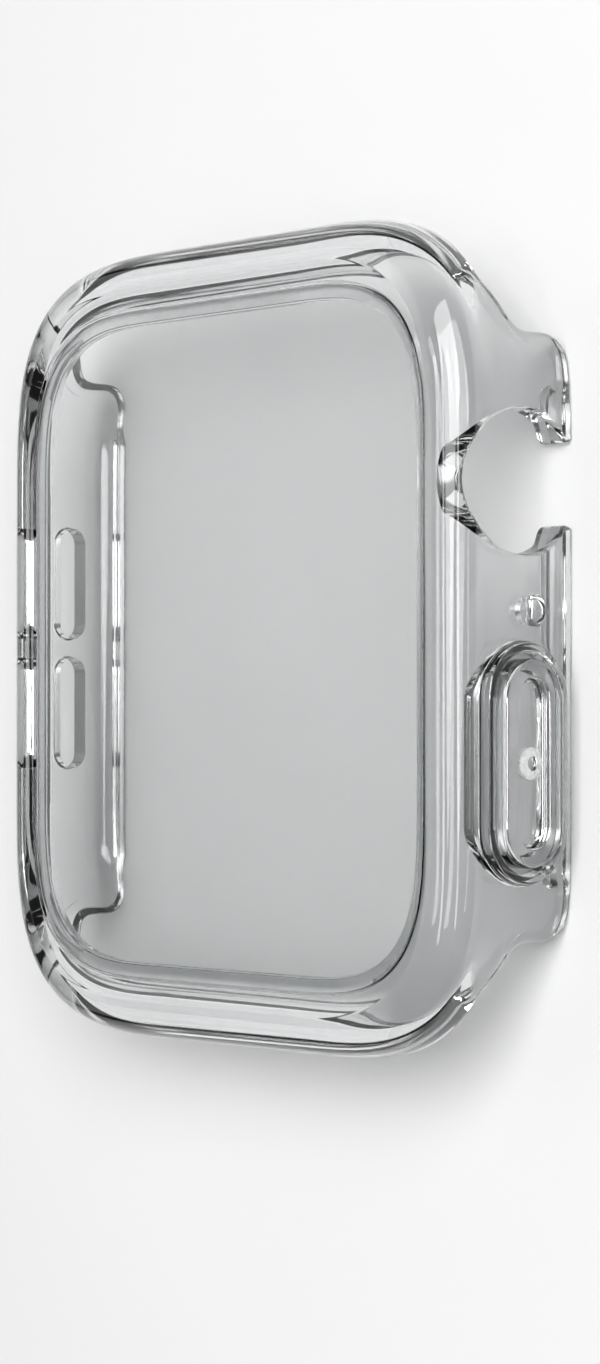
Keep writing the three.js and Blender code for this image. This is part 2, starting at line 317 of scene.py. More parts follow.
def plan_points(section, stations):
    """The points of a section at stations, as two columns."""
    half_x, half_y, reach = section
    x = (half_x - reach) * stations[:, 0] + reach * stations[:, 2]
    y = (half_y - reach) * stations[:, 1] + reach * stations[:, 3]
    return np.stack([x, y], axis=1)


def side_x(section, y):
    """The x of a section's side at each y."""
    half_x, half_y, reach = section
    share = (np.abs(y) - (half_y - reach)) / reach
    return half_x - reach + reach * corner_share(share)


def quarter_stations():
    """A quarter of the outline, from the middle of a side to the middle of an end, as many
    stations, with the length along the outer section at each."""
    straight = np.linspace(0, 1, PLAN_SAMPLES)
    ones, none = np.ones(PLAN_SAMPLES), np.zeros(PLAN_SAMPLES)
    side = np.stack([ones, straight, ones, none], axis=1)
    angle = np.linspace(0, math.pi / 2, PLAN_CORNER_SAMPLES)
    across, along = np.cos(angle), np.sin(angle)
    size = (across**CORNER_POWER + along**CORNER_POWER) ** (1 / CORNER_POWER)
    both = np.ones(PLAN_CORNER_SAMPLES)
    corner = np.stack([both, both, across / size, along / size], axis=1)
    end = np.stack([1 - straight, ones, none, ones], axis=1)
    stations = np.concatenate([side, corner[1:], end[1:]])
    return stations, lengths_along(plan_points(outer, stations))


QUARTER, QUARTER_LENGTHS = quarter_stations()


def stations_at(lengths):
    """Stations at given lengths along the outer section's quarter."""
    return rows_at(lengths, QUARTER_LENGTHS, QUARTER)


def length_at_y(y):
    """The length along the outer section's quarter at which it has that y."""
    return float(np.interp(y, plan_points(outer, QUARTER)[:, 1], QUARTER_LENGTHS))


# The line that bounds a wall at the rear: along a guard's rear edge, round its corner, up its
# end, over the knee and level under the end wall. It is a polyline of (y, z).

BOUND_START = LIP_FULL_TO
BOUND_END = GUARD_HALF_LENGTH + ARCH_RUN + ARCH_KNEE_RISE


def bound_line():
    """The bounding line before it is softened, with its lead at both ends."""
    angle = np.linspace(-math.pi / 2, 0, CURVE_POINTS)
    y = GUARD_HALF_LENGTH - GUARD_CORNER_RADIUS + GUARD_CORNER_RADIUS * np.cos(angle)
    z = GUARD_CORNER_RADIUS * (1 + np.sin(angle))
    knee_end = (GUARD_HALF_LENGTH + ARCH_KNEE_RUN, ARCH_KNEE_HEIGHT + ARCH_KNEE_RISE)
    knee = quadratic(
        (GUARD_HALF_LENGTH, ARCH_KNEE_HEIGHT),
        (GUARD_HALF_LENGTH, knee_end[1] - ARCH_KNEE_RUN),
        knee_end,
        CURVE_POINTS,
    )
    bend = GUARD_HALF_LENGTH + ARCH_RUN
    brow = quadratic(
        (bend - ARCH_KNEE_RISE / 2, ARCH_HEIGHT - ARCH_KNEE_RISE / 2),
        (bend, ARCH_HEIGHT),
        (BOUND_END, ARCH_HEIGHT),
        CURVE_POINTS,
    )
    lead = [[BOUND_START - BOUND_LEAD, 0.0]]
    tail = [[BOUND_END + BOUND_LEAD, ARCH_HEIGHT]]
    return np.concatenate([lead, np.stack([y, z], axis=1), knee, brow, tail])


def softened(line):
    """A polyline with its corners softened, as many close points."""
    lengths = lengths_along(line)
    dense = rows_at(np.arange(0, lengths[-1], BOUND_SAMPLE_STEP), lengths, line)
    reach = int(BOUND_SOFTENING_WIDTHS * BOUND_SOFTENING / BOUND_SAMPLE_STEP)
    away = np.arange(-reach, reach + 1) * BOUND_SAMPLE_STEP / BOUND_SOFTENING
    weights = np.exp(-(away**2) / 2)
    weights /= weights.sum()
    before = dense[0] + (dense[1] - dense[0]) * np.arange(-reach, 0)[:, None]
    after = dense[-1] + (dense[-1] - dense[-2]) * np.arange(1, reach + 1)[:, None]
    padded = np.concatenate([before, dense, after])
    columns = [np.convolve(column, weights, mode="valid") for column in padded.T]
    return np.stack(columns, axis=1)


def rear_bound(count):
    """Points of the softened bounding line, evenly spaced along it."""
    soft = softened(bound_line())
    soft = soft[(soft[:, 0] >= BOUND_START) & (soft[:, 0] <= BOUND_END)]
    lengths = lengths_along(soft)
    return rows_at(np.linspace(0, lengths[-1], count), lengths, soft)


# Frame shell: one closed profile swept round the plan, as a grid of points


class WallLines:
    """Where the grid lines of the walls start at the rear and end under the roll, for the
    quarter of the case with x and y over zero."""

    def __init__(self):
        top_start, top_end = length_at_y(BOUND_START), length_at_y(BOUND_END)
        straight_from = length_at_y(OUTER_Y - END_TOLERANCE)
        guard = np.linspace(0, top_start, GUARD_STEPS + 1)[:-1]
        bound = np.linspace(top_start, top_end, BOUND_STEPS + 1)[:-1]
        corner = np.linspace(top_end, straight_from, CORNER_STEPS + 1)[:-1]
        end = np.linspace(straight_from, QUARTER_LENGTHS[-1], END_STEPS + 1)
        self.stations = stations_at(np.concatenate([guard, bound, corner, end]))
        count = len(self.stations)

        # Lines of the zone start on the bounding line, and free ones under the end wall
        zone = slice(GUARD_STEPS, GUARD_STEPS + BOUND_STEPS + 1)
        self.free = slice(GUARD_STEPS + BOUND_STEPS, count)

        self.outer_top = plan_points(outer, self.stations)[:, 1]
        self.outer_line = np.stack([self.outer_top, np.zeros(count)], axis=1)
        self.outer_line[self.free, 1] = ARCH_HEIGHT
        self.outer_line[zone] = rear_bound(BOUND_STEPS + 1)
        self.outer_normal = np.tile([0.0, 1.0], (count, 1))
        self.outer_normal[zone] = normals_of(self.outer_line[zone])

        # Past the knee the inner lines start further in, towards the cavity, on the same bound
        self.inner_top = plan_points(cavity, self.stations)[:, 1]
        knee = GUARD_HALF_LENGTH + ARCH_KNEE_RUN
        blend = smoothstep((self.outer_line[:, 0] - knee) / (BOUND_END - knee))
        self.inner_line = self.outer_line.copy()
        self.inner_line[:, 0] += (self.inner_top - self.outer_line[:, 0]) * blend
        past = blend > 0
        fine = rear_bound(BOUND_SAMPLES)
        climb = fine[fine[:, 0] > GUARD_HALF_LENGTH]
        self.inner_line[past, 1] = np.interp(
            self.inner_line[past, 0], climb[:, 0], climb[:, 1]
        )
        self.inner_line[self.free, 1] = ARCH_HEIGHT
        self.inner_normal = self.outer_normal.copy()
        self.inner_normal[zone] = normals_of(self.inner_line[zone])

        arch = smoothstep(
            (self.outer_line[:, 1] - GUARD_CORNER_RADIUS / 2) / ARCH_KNEE_HEIGHT
        )
        self.outer_round = REAR_EDGE_ROUND + (ARCH_EDGE_ROUND - REAR_EDGE_ROUND) * arch
        self.inner_round = np.full(count, INNER_EDGE_ROUND)
        fade = (LIP_FADED_AT - self.outer_line[:, 0]) / (LIP_FADED_AT - LIP_FULL_TO)
        self.lip = smoothstep(fade)

    def on(self, section, y, z):
        """Points of a wall's face at each line, at the given y and z. Past the arches a line
        keeps its station, because the wall turns away from the side."""
        x = side_x(section, y)
        at = plan_points(section, self.stations)
        x[self.free] = at[self.free, 0]
        y = y.copy()
        y[self.free] = at[self.free, 1]
        return np.stack([x, y, z], axis=1)

    def wall(self, inside, share):
        """Points of a wall's face, a share of the way up its lines. Each line is a cubic that
        leaves the rear edge squarely and arrives upright."""
        if inside:
            line, normal, rounding = self.inner_line, self.inner_normal, self.inner_round
            section, top_y, top_z = cavity, self.inner_top, INNER_WALL_TOP
        else:
            line, normal, rounding = self.outer_line, self.outer_normal, self.outer_round
            section, top_y, top_z = outer, self.outer_top, OUTER_WALL_TOP
        start = line + normal * rounding[:, None]
        finish = np.stack([top_y, np.full(len(top_y), top_z)], axis=1)
        third = np.linalg.norm(finish - start, axis=1)[:, None] / 3
        first = start + normal * third
        second = finish - np.array([0, 1.0]) * third
        at = (
            (1 - share) ** 3 * start
            + 3 * share * (1 - share) ** 2 * first
            + 3 * share**2 * (1 - share) * second
            + share**3 * finish
        )
        points = self.on(section, at[:, 0], at[:, 1])
        if inside:
            points[:, 0] -= lip_profile(points[:, 2]) * self.lip
        return points

    def edge(self, inside, deep_share, up_share):
        """Points of the rounding between a wall's face and the rear face: a share of its
        radius in from the wall's face, and a share of it up from the rear face."""
        rounding = self.inner_round if inside else self.outer_round
        up = (rounding * up_share)[:, None]
        out_at = self.outer_line + self.outer_normal * up
        in_at = self.inner_line + self.inner_normal * up
        out_point = self.on(outer, out_at[:, 0], out_at[:, 1])
        in_point = self.on(cavity, in_at[:, 0], in_at[:, 1])
        in_point[:, 0] -= lip_profile(in_at[:, 1]) * self.lip
        start, finish = (in_point, out_point) if inside else (out_point, in_point)
        across = finish - start
        width = np.linalg.norm(across, axis=1)
        return start + across * (rounding * deep_share / width)[:, None]


def lip_profile(z):
    """How far a snap lip reaches inwards at each height, with its edges softened."""
    heights = [0]
    for height, soft in LIP_TURNS:
        heights += [height - soft, height, height + soft]
    return np.interp(z, heights, np.array(LIP_REACH_SHARES) * LIP_REACH)


def inner_wall_heights():
    """Heights of the inner wall's rings from the top down, closest where the lip turns."""
    heights = list(PLAIN_HEIGHTS)
    for height, soft in LIP_TURNS:
        heights += [height + soft * share for share in (-1, -0.5, 0, 0.5, 1)]
    return sorted(heights, reverse=True)


def level(section, stations, z):
    """A section's points at stations, all at height z."""
    points = plan_points(section, stations)
    return np.column_stack([points, np.full(len(points), z)])


def rounded_corner(before, corner, after, radius):
    """(section, z) pairs along the rounding of a profile corner between two neighbours. The
    rounding is a quadratic that starts and ends radius away."""
    middle = np.array([*corner[0], corner[1]])

    def step_to(other):
        change = np.array([*other[0], other[1]]) - middle
        run = math.hypot(max(abs(change[0]), abs(change[1])), change[3])
        return middle + change * min(radius / run, ROUNDED_SPAN_SHARE)

    curve = quadratic(step_to(before), middle, step_to(after), ROUND_STEPS + 1)
    return [(tuple(at[:3]), at[3]) for at in curve]


def rim_profile():
    """(section, z) pairs from the top of the outer wall over the rim, down through the window
    and round the ledge to the top of the inner wall."""
    made = []
    for in_by, down in quarter_round(ROLL_RUN, ROLL_DROP, ROLL_STEPS):
        made.append((inset(outer, in_by, in_by), CASE_DEPTH - down))
    corners = [
        (crest, CASE_DEPTH),
        (mouth, CASE_DEPTH),
        (pocket, POCKET_TOP),
        (pocket, LEDGE_TOP),
        (through, LEDGE_TOP),
        (through, ROOF),
        (inset(cavity, ROOF_ROLL_RUN, ROOF_ROLL_RUN), ROOF),
    ]
    for before, corner, after in zip(corners, corners[1:], corners[2:]):
        made += rounded_corner(before, corner, after, RIM_EDGE_ROUND)
    for in_by, down in reversed(quarter_round(ROOF_ROLL_RUN, ROOF_ROLL_RISE, ROLL_STEPS)):
        made.append((inset(cavity, in_by, in_by), ROOF - down))
    return made


def shell_rings():
    """Rings round the whole case: over the rim, down the inner wall, under the rear edge and
    up the outer wall to where the rim starts."""
    lines = WallLines()
    rings = [level(section, lines.stations, z) for section, z in rim_profile()]
    foot = INNER_EDGE_ROUND
    for height in inner_wall_heights():
        rings.append(lines.wall(True, (height - foot) / (INNER_WALL_TOP - foot)))
    for deep, up in quarter_round(1, 1, ROUND_STEPS):
        rings.append(lines.edge(True, deep, up))
    for deep, up in reversed(quarter_round(1, 1, ROUND_STEPS)):
        rings.append(lines.edge(False, deep, up))
    for k in range(1, OUTER_WALL_STEPS):
        rings.append(lines.wall(False, k / OUTER_WALL_STEPS))
    return [all_quarters(ring) for ring in rings]


def all_quarters(quarter):
    """A quarter's points, mirrored into one closed ring."""
    left = quarter[-2::-1] * [-1, 1, 1]
    opposite = quarter[1:] * [-1, -1, 1]
    last = quarter[-2:0:-1] * [1, -1, 1]
    return np.concatenate([quarter, left, opposite, last])


# Meshes


def to_model(points):
    """Points in millimetres of the case's own frame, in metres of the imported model."""
    return (np.asarray(points) + [CASE_X, 0, 0]) * MM


def skin(rings, closed=False):
    """Points and faces of a skin through rings of equal count. Either the last ring joins the
    first, or each end is closed by a fan."""
    count = len(rings[0])
    points = [tuple(p) for ring in rings for p in ring]
    faces = []
    spans = len(rings) if closed else len(rings) - 1
    for k in range(spans):
        low, high = k * count, (k + 1) % len(rings) * count
        for j in range(count):
            after = (j + 1) % count
            faces.append((low + j, low + after, high + after, high + j))
    if not closed:
        for base, flip in ((0, True), ((len(rings) - 1) * count, False)):
            middle = len(points)
            points.append(tuple(np.mean(points[base : base + count], axis=0)))
            for j in range(count):
                after = (j + 1) % count
                a, b = (after, j) if flip else (j, after)
                faces.append((middle, base + a, base + b))
    return points, faces


def mesh_piece(name, points, faces):
    """An object with a closed mesh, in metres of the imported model."""
    mesh = bpy.data.meshes.new(name)
    mesh.from_pydata(to_model(points).tolist(), [], faces)
    mesh.validate()
    face_out(mesh)
    piece = bpy.data.objects.new(name, mesh)
    bpy.context.scene.collection.objects.link(piece)
    return piece


def face_out(mesh):
    """Turns a closed mesh's faces to point outwards."""
    mesh.calc_loop_triangles()
    co = np.array([v.co for v in mesh.vertices])
    tri = np.array([t.vertices for t in mesh.loop_triangles])
    a, b, c = co[tri[:, 0]], co[tri[:, 1]], co[tri[:, 2]]
    if np.einsum("ij,ij->i", a, np.cross(b, c)).sum() < 0:
        mesh.flip_normals()


def combine(piece, tool, operation):
    """Joins or cuts piece with tool, and deletes the tool."""
    change = piece.modifiers.new("combine", "BOOLEAN")
    change.object = tool
    change.operation = operation
    change.solver = "EXACT"
    graph = bpy.context.evaluated_depsgraph_get()
    made = bpy.data.meshes.new_from_object(piece.evaluated_get(graph))
    piece.modifiers.clear()
    old = piece.data
    piece.data = made
    made.name = piece.name
    bpy.data.meshes.remove(old)
    bpy.data.objects.remove(tool)


def finish_piece(piece, material):
    """Smooth shading that keeps flat faces flat beside their softened edges."""
    piece.data.materials.clear()
    piece.data.materials.append(material)
    piece.data.shade_smooth()
    piece.data.set_sharp_from_angle(angle=CREASE_ANGLE)
    weigh = piece.modifiers.new("weighted_normals", "WEIGHTED_NORMAL")
    weigh.mode = "FACE_AREA_WITH_ANGLE"
    weigh.keep_sharp = True


# Openings and collar


def outer_face_x(y, z):
    """The x of the case's outer face on the side, roll included."""
    share = np.clip(1 - (CASE_DEPTH - z) / ROLL_DROP, 0, 1)
    in_by = ROLL_RUN * (1 - np.sqrt(1 - share**2))
    half_x, half_y, reach = outer
    corner = (np.abs(y) - (half_y - reach)) / (reach - in_by)
    return (half_x - reach) + (reach - in_by) * corner_share(corner)


def stadium(radius, y=BUTTON_Y, z=BUTTON_Z, half_straight=BUTTON_HALF_STRAIGHT):
    """A stadium outline as (y, z) points."""
    angle = np.linspace(0, math.pi, STADIUM_STEPS + 1)
    out, across = half_straight + radius * np.sin(angle), radius * np.cos(angle)
    top = np.stack([y + out, z - across], axis=1)
    bottom = np.stack([y - out, z + across], axis=1)
    spaced = np.linspace(-1, 1, STRAIGHT_STEPS + 1)[1:-1, None] * [half_straight, 0]
    left = np.array([y, z + radius]) - spaced
    right = np.array([y, z - radius]) + spaced
    return np.concatenate([top, left, bottom, right])


def circle(radius, y, z):
    """A circle as (y, z) points."""
    angle = np.linspace(0, 2 * math.pi, CIRCLE_STEPS, endpoint=False)
    return np.stack([y + radius * np.cos(angle), z + radius * np.sin(angle)], axis=1)


def grown(outline, by):
    """A closed outline moved outwards along its normals."""
    tangent = np.roll(outline, -1, axis=0) - np.roll(outline, 1, axis=0)
    tangent /= np.linalg.norm(tangent, axis=1)[:, None]
    normal = np.stack([tangent[:, 1], -tangent[:, 0]], axis=1)
    area = np.sum(
        outline[:, 0] * np.roll(outline[:, 1], -1)
        - np.roll(outline[:, 0], -1) * outline[:, 1]
    )
    return outline + normal * by * (1 if area > 0 else -1)


def at_x(outline, x):
    """An outline's (y, z) points with their x in front."""
    return np.column_stack([np.broadcast_to(x, len(outline)), outline])


def stadium_rings(profile):
    """Stadiums round the button's middle, one for each (radius, x) of a profile."""
    return [at_x(stadium(radius), x) for radius, x in profile]


def opening_tool(outline, deepest, rounding, side=1, flare_shares=1.0):
    """A cutter for a hole in a side wall, whose mouth flares out along a quarter round that
    follows the outer face. flare_shares says how much each point of the outline flares."""
    rings = [at_x(outline, deepest)]
    flare = quarter_round(rounding, rounding, FINE_ROUND_STEPS, start=SKIM_ANGLE)
    for deep, out_by in reversed(flare):
        wide = grown(outline, out_by * flare_shares)
        rings.append(at_x(wide, outer_face_x(wide[:, 0], wide[:, 1]) - deep))
    rings.append(at_x(wide, OUTER_X + OVERRUN))
    points, faces = skin(rings)
    return mesh_piece("tool", np.array(points) * [side, 1, 1], faces)


def crown_outline():
    """The crown opening: a circle that opens through the rear edge, between two blunt horns.
    Returns the outline and how much of the flare each of its points has."""
    horn_z = CROWN_HORN_ROUND * CROWN_HORN_RISE_SHARE
    apart = CROWN_RADIUS + CROWN_HORN_ROUND
    horn_y = math.sqrt(apart**2 - (CROWN_Z - horn_z) ** 2)
    touch = math.atan2(CROWN_Z - horn_z, horn_y)
    arc_angle = np.linspace(-touch, math.pi + touch, CROWN_STEPS + 1)
    arc = CROWN_RADIUS * np.stack([np.cos(arc_angle), np.sin(arc_angle)], axis=1)
    horn_angle = np.linspace(math.pi - touch, 3 * math.pi / 2, HORN_STEPS + 1)[1:]
    horn = CROWN_HORN_ROUND * np.stack([np.cos(horn_angle), np.sin(horn_angle)], axis=1)
    horn += [horn_y, horn_z - CROWN_Z]
    right = np.concatenate([horn, [[horn_y, -OVERRUN - CROWN_Z]]])
    left = right * [-1, 1]
    outline = np.concatenate([left[::-1], arc[::-1], right])
    fade = 1 - smoothstep((horn_angle - math.pi) / (math.pi / 2))
    shares = np.concatenate([[0], fade[::-1], np.ones(len(arc)), fade, [0]])
    return outline + [CROWN_Y, CROWN_Z], shares[:, None]


def collar_tool():
    """The collar before its bore: a foot that runs out on the wall, a sloped flank and a
    softened top edge."""
    shoulder = COLLAR_TOP_RADIUS + COLLAR_EDGE_ROUND
    slope = (COLLAR_BASE_RADIUS - shoulder) / (COLLAR_PROUD - COLLAR_EDGE_ROUND)
    foot = COLLAR_FOOT_ROUND
    steep = math.pi / 2 - math.atan(slope)
    foot_radius = COLLAR_BASE_RADIUS + foot * math.tan(steep / 2)
    profile = [
        (foot_radius + foot, -SIDE_WALL / 2),
        (foot_radius + foot, -foot * math.tan(SKIM_ANGLE)),
    ]
    for angle in np.linspace(SKIM_ANGLE, steep, FINE_ROUND_STEPS + 1):
        radius = foot_radius - foot * math.sin(angle)
        profile.append((radius, foot * (1 - math.cos(angle))))
    for in_by, down in quarter_round(COLLAR_EDGE_ROUND, COLLAR_EDGE_ROUND, ROUND_STEPS):
        profile.append((shoulder - in_by, COLLAR_PROUD - down))
    rings = []
    for radius, height in profile:
        outline = stadium(radius)
        sunk = outer_face_x(outline[:, 0], outline[:, 1]) - OUTER_X
        follows = np.clip(1 - height / COLLAR_PROUD, 0, 1)
        rings.append(at_x(outline, OUTER_X + height + sunk * follows))
    return mesh_piece("tool", *skin(rings))


def bore_tool():
    """The collar's bore, with a softened mouth, and the wider seat for the web behind it."""
    bore, seat = CAP_RADIUS + CAP_CLEARANCE, WEB_OUTER_RADIUS + WEB_CLEARANCE
    top, ease = OUTER_X + COLLAR_PROUD, COLLAR_EDGE_ROUND
    profile = [(seat, cavity[0] - OVERRUN), (seat, WEB_FRONT), (bore, WEB_FRONT)]
    for out_by, down in quarter_round(ease, ease, ROUND_STEPS, stop=BORE_MOUTH_TURN):
        profile.append((bore + out_by, top - down))
    profile.append((bore + 2 * ease, top + ease))
    return mesh_piece("tool", *skin(stadium_rings(profile)))


def frame_shell():
    """The frame: the shell with its collar joined on and its openings cut."""
    shell = mesh_piece("case_frame", *skin(shell_rings(), closed=True))
    combine(shell, collar_tool(), "UNION")
    combine(shell, bore_tool(), "DIFFERENCE")
    outline, shares = crown_outline()
    deepest = OUTER_X - CROWN_CUT_DEPTH
    tool = opening_tool(outline, deepest, CROWN_EDGE_ROUND, flare_shares=shares)
    combine(shell, tool, "DIFFERENCE")
    port = circle(MICROPHONE_RADIUS, MICROPHONE_Y, MICROPHONE_Z)
    tool = opening_tool(port, cavity[0] - OVERRUN, MICROPHONE_EDGE_ROUND)
    combine(shell, tool, "DIFFERENCE")
    radius = SPEAKER_SLOT_WIDTH / 2
    for end in (1, -1):
        y = end * (SPEAKER_SLOT_LENGTH + SPEAKER_RIB) / 2
        slot = stadium(radius, y, SPEAKER_Z, SPEAKER_SLOT_LENGTH / 2 - radius)
        tool = opening_tool(slot, cavity[0] - OVERRUN, SPEAKER_EDGE_ROUND, side=-1)
        combine(shell, tool, "DIFFERENCE")
    return shell


# Screen cover and its bond

COVER_STATIONS = stations_at(np.linspace(0, QUARTER_LENGTHS[-1], COVER_POINTS))


def whole_ring(section, z):
    """A section's whole outline at height z."""
    return all_quarters(level(section, COVER_STATIONS, z))


def cover_glass():
    """The cover: a plate with an eased rear edge and a rolled front one."""
    plate = inset(pocket, GLASS_CLEARANCE, GLASS_CLEARANCE)
    rear = glass_low.z
    ease = RIM_EDGE_ROUND / 2
    rings = [whole_ring(inset(plate, ease, ease), rear), whole_ring(plate, rear + ease)]
    for in_by, down in quarter_round(GLASS_EDGE_RUN, GLASS_EDGE_DROP, FINE_ROUND_STEPS):
        rings.append(whole_ring(inset(plate, in_by, in_by), POCKET_TOP - down))
    return mesh_piece("cover_glass", *skin(rings))


def bond_ring():
    """The bond, with sides that bulge and draw in a little, as a pressed bead does."""
    in_by = GLASS_CLEARANCE + BOND_INSET
    out_section = inset(pocket, in_by, in_by)
    in_section = inset(through, -BOND_INSET, -BOND_INSET)
    low, high = bond_low.z + BOND_SEAT_GAP, bond_high.z - BOND_SEAT_GAP
    rings = []
    for section, sign in ((out_section, 1), (in_section, -1)):
        for k in range(ROUND_STEPS + 1):
            share = k / ROUND_STEPS
            bulge = BOND_INSET / 2 * (1 - math.sin(share * math.pi)) * sign
            height = low + (high - low) * (share if sign > 0 else 1 - share)
            rings.append(whole_ring(inset(section, bulge, bulge), height))
    return mesh_piece("bond_ring", *skin(rings, closed=True))


# Button


def cap():
    """The cap: its stem, a pill with a rounded top edge, and a dish with a flat floor."""
    ease = RIM_EDGE_ROUND
    rear = WEB_FRONT + WEB_CLEARANCE
    profile = [
        (STEM_RADIUS - ease, STEM_END),
        (STEM_RADIUS, STEM_END + ease),
        (STEM_RADIUS, rear),
        (CAP_RADIUS - ease, rear),
        (CAP_RADIUS, rear + ease),
    ]
    for in_by, down in quarter_round(CAP_EDGE_ROUND, CAP_EDGE_ROUND, FINE_ROUND_STEPS):
        profile.append((CAP_RADIUS - in_by, CAP_TOP - down))
    lip, turn = DISH_LIP_ROUND, DISH_LIP_TURN
    for angle in np.linspace(0, turn, FINE_ROUND_STEPS + 1):
        out_by = lip * (math.sin(turn) - math.sin(angle))
        profile.append((DISH_RADIUS + out_by, CAP_TOP - lip * (1 - math.cos(angle))))
    shoulder = lip * (1 - math.cos(turn))
    for share in np.linspace(0, 1, FINE_ROUND_STEPS + 1)[1:]:
        radius = DISH_RADIUS - DISH_FLARE * smoothstep(share)
        depth = shoulder + (DISH_DEPTH - shoulder) * math.sin(share * math.pi / 2)
        profile.append((radius, CAP_TOP - depth))
    return mesh_piece("cap", *skin(stadium_rings(profile)))


def boss():
    """The boss in the dish: a low dome with a bowl of a dimple in its top."""
    top = DISH_FLOOR + BOSS_HEIGHT
    run = BOSS_RADIUS - DIMPLE_RADIUS - DIMPLE_LIP
    rise = BOSS_HEIGHT * BOSS_DOME_SHARE
    profile = [(BOSS_RADIUS, DISH_FLOOR - BOSS_HEIGHT)]
    for in_by, down in quarter_round(run, rise, FINE_ROUND_STEPS):
        profile.append((BOSS_RADIUS - in_by, top - down))
    for angle in np.linspace(0, math.pi / 2, FINE_ROUND_STEPS + 1)[:-1]:
        depth = DIMPLE_DEPTH * math.sin(angle)
        profile.append((DIMPLE_RADIUS * math.cos(angle), top - depth))
    rings = [at_x(circle(radius, BUTTON_Y, BUTTON_Z), x) for radius, x in profile]
    return mesh_piece("tool", *skin(rings))


def button():
    """The cap with its boss joined on."""
    piece = cap()
    combine(piece, boss(), "UNION")
    return piece


def frost_boss(piece, material):
    """Gives the boss's own faces a second material, and leaves its dimple clear."""
    piece.data.materials.append(material)
    middle = Vector(to_model([(0, BUTTON_Y, BUTTON_Z)])[0])
    floor_x = (DISH_FLOOR + FLOOR_TOLERANCE + CASE_X) * MM
    for face in piece.data.polygons:
        away = (face.center - middle).yz.length
        if DIMPLE_RADIUS * MM < away < BOSS_RADIUS * MM and face.center.x > floor_x:
            face.material_index = 1


def web():
    """The web: a thin skin in two flats. The outer flat lies in its seat and the inner one
    behind the cap, and the step between them rolls as the cap goes in."""
    low, high = WEB_REAR + WEB_SKIN, WEB_FRONT
    hole, rim = STEM_RADIUS + WEB_CLEARANCE, WEB_OUTER_RADIUS
    ease = WEB_SKIN / 3
    front = [(hole, low - ease), (hole + ease, low), (WEB_HINGE_INNER - ease, low)]
    for share in np.linspace(0, 1, FINE_ROUND_STEPS + 1):
        radius = WEB_HINGE_INNER + (WEB_HINGE_OUTER - WEB_HINGE_INNER) * share
        front.append((radius, low + (high - low) * smoothstep(share)))
    front += [(WEB_HINGE_OUTER + ease, high), (rim - ease, high), (rim, high - ease)]
    rear = [(radius, x - WEB_SKIN) for radius, x in front[1:-1]]
    rear = [(hole, low - WEB_SKIN + ease), *rear, (rim, high - WEB_SKIN + ease)]
    return mesh_piece("web", *skin(stadium_rings(front + rear[::-1]), closed=True))


# Materials

POLYCARBONATE_IOR = 1.58
GLASS_IOR = 1.5
ADHESIVE_IOR = 1.47
ELASTOMER_IOR = 1.45

# Noise lies almost wholly between these two values
NOISE_LOW = 0.3
NOISE_HIGH = 0.7

# Hairlines are the peaks of a noise that is stretched along them. The angles are in radians.
HAIRLINE_TILT = (0.2, 0.3)
HAIRLINE_STRETCH = 30
HAIRLINE_LOW = 0.66
HAIRLINE_HIGH = 0.74
HAIRLINE_ROUGHNESS = 0.06
PLASTIC_HAIRLINE_TURNS = (2.2, 0.5)
GLASS_HAIRLINE_TURNS = (1.1,)


def new_material(name, constants):
    """A material whose shader has the given constants on its sockets. Returns it with its
    nodes, links and shader."""
    material = bpy.data.materials.new(name)
    material.use_nodes = True
    nodes = material.node_tree.nodes
    shader = nodes["Principled BSDF"]
    for socket, value in constants.items():
        shader.inputs[socket].default_value = value
    return material, nodes, material.node_tree.links, shader


def noise(nodes, links, scale, detail, low=0.0, high=1.0):
    """Noise in object space that runs from low to high."""
    place = nodes.new("ShaderNodeTexCoord").outputs["Object"]
    texture = noise_texture(nodes, links, place, scale, detail)
    return spread(nodes, links, texture, NOISE_LOW, NOISE_HIGH, low, high)


def noise_texture(nodes, links, place, scale, detail):
    """Plain noise at a place."""
    texture = nodes.new("ShaderNodeTexNoise")
    texture.inputs["Scale"].default_value = scale
    texture.inputs["Detail"].default_value = detail
    links.new(place, texture.inputs["Vector"])
    return texture.outputs["Fac"]


def spread(nodes, links, value, start, stop, low, high, ease="LINEAR"):
    """Maps start to low and stop to high, and holds the value at both."""
    mapped = nodes.new("ShaderNodeMapRange")
    mapped.interpolation_type = ease
    mapped.inputs["From Min"].default_value = start
    mapped.inputs["From Max"].default_value = stop
    mapped.inputs["To Min"].default_value = low
    mapped.inputs["To Max"].default_value = high
    links.new(value, mapped.inputs["Value"])
    return mapped.outputs["Result"]


def join(nodes, links, operation, one, other):
    """The sum, product or larger of two values."""
    both = nodes.new("ShaderNodeMath")
    both.operation = operation
    links.new(one, both.inputs[0])
    links.new(other, both.inputs[1])
    return both.outputs["Value"]


def bump(nodes, links, shader, height, distance, strength):
    """Bends a shader's normal by a height."""
    relief = nodes.new("ShaderNodeBump")
    relief.inputs["Distance"].default_value = distance
    relief.inputs["Strength"].default_value = strength
    links.new(height, relief.inputs["Height"])
    links.new(relief.outputs["Normal"], shader.inputs["Normal"])


def tint(nodes, links, shader, share, dark, pale):
    """Colours a shader between a dark and a pale tint."""
    mix = nodes.new("ShaderNodeMix")
    mix.data_type = "RGBA"
    mix.inputs["A"].default_value = (*dark, 1)
    mix.inputs["B"].default_value = (*pale, 1)
    links.new(share, mix.inputs["Factor"])
    links.new(mix.outputs["Result"], shader.inputs["Base Color"])


